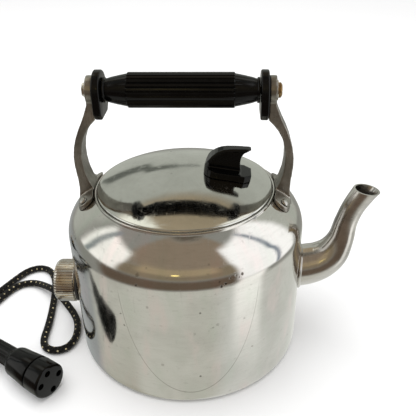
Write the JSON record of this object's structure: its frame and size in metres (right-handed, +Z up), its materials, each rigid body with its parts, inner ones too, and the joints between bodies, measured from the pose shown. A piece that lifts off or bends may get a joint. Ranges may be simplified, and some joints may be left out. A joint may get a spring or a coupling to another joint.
{
  "type": "electric kettle",
  "caption": "Vintage spun-aluminium electric kettle with swan-neck spout, lift-off lid, fluted bail grip, screwed inlet and detached braided flex.",
  "frame": {"origin": "middle of the flat underside that the kettle stands on", "axes": "+X towards the spout, +Z up"},
  "size_m": [0.453, 0.2204, 0.2377],
  "materials": {
    "polished_aluminium": "bright hand-polished spun aluminium with fine turning lines and small scratches",
    "spout_aluminium": "bright polished cast aluminium, slightly duller than the body",
    "cast_aluminium": "satin cast aluminium, dulled brownish grey",
    "rivet_aluminium": "polished aluminium rivet heads",
    "bakelite": "glossy black Bakelite",
    "brass": "tarnished brass",
    "plated_brass": "worn nickel plate over brass, browned in places",
    "element_sheath": "tinned copper heater sheath, dulled by scale",
    "rubber": "matt black rubber",
    "ceramic": "cream moulded insulating block",
    "spring_steel": "steel spring wire",
    "cord_braid": "black textile braid with cream tracer flecks",
    "tie_tape": "cotton tape"
  },
  "bodies": {
    "kettle": {"body_shell": "polished_aluminium", "spout": "spout_aluminium", "handle_bracket_right": "cast_aluminium", "handle_guard_right": "bakelite", "handle_washer_right": "plated_brass", "handle_bracket_left": "cast_aluminium", "handle_guard_left": "bakelite", "handle_washer_left": "plated_brass", "handle_grip": "bakelite", "handle_tie_rod": "brass", "handle_nut": "plated_brass", "rivet_right_front": "rivet_aluminium", "rivet_right_back": "rivet_aluminium", "rivet_left_back": "rivet_aluminium", "rivet_left_front": "rivet_aluminium", "element_head": "plated_brass", "element_tube": "element_sheath", "head_gasket": "rubber", "outer_gasket": "rubber", "outer_washer": "plated_brass", "inlet_collar": "plated_brass", "inlet_insulator": "ceramic", "inlet_pin_earth": "brass", "inlet_pin_live": "brass", "inlet_pin_neutral": "brass", "ejector_spring": "spring_steel", "connector_front": "bakelite", "connector_rear": "bakelite", "connector_contact_earth": "brass", "connector_contact_live": "brass", "connector_contact_neutral": "brass", "connector_screw": "brass", "connector_sleeve": "rubber", "cord_tube": "cord_braid", "cord_coil": "cord_braid", "cord_tail": "cord_braid", "coil_tie": "tie_tape", "plug_cover": "bakelite", "plug_base": "bakelite", "plug_pin_earth": "brass", "plug_pin_live": "brass", "plug_pin_neutral": "brass", "plug_screw": "brass", "plug_sleeve": "rubber"},
    "lid": {"lid_shell": "polished_aluminium", "lid_knob": "bakelite", "lid_knob_screw": "brass", "lid_knob_washer": "plated_brass"},
    "ejector": {"ejector_pin": "brass"}
  },
  "joints": [
    {"name": "lid_lift", "type": "slide", "parent": "kettle", "child": "lid", "axis": [0, 0, 1], "range_m": [0, 0.028]},
    {"name": "ejector_slide", "type": "slide", "parent": "kettle", "child": "ejector", "axis": [-1, 0, 0], "range_m": [0, 0.005]}
  ]
}
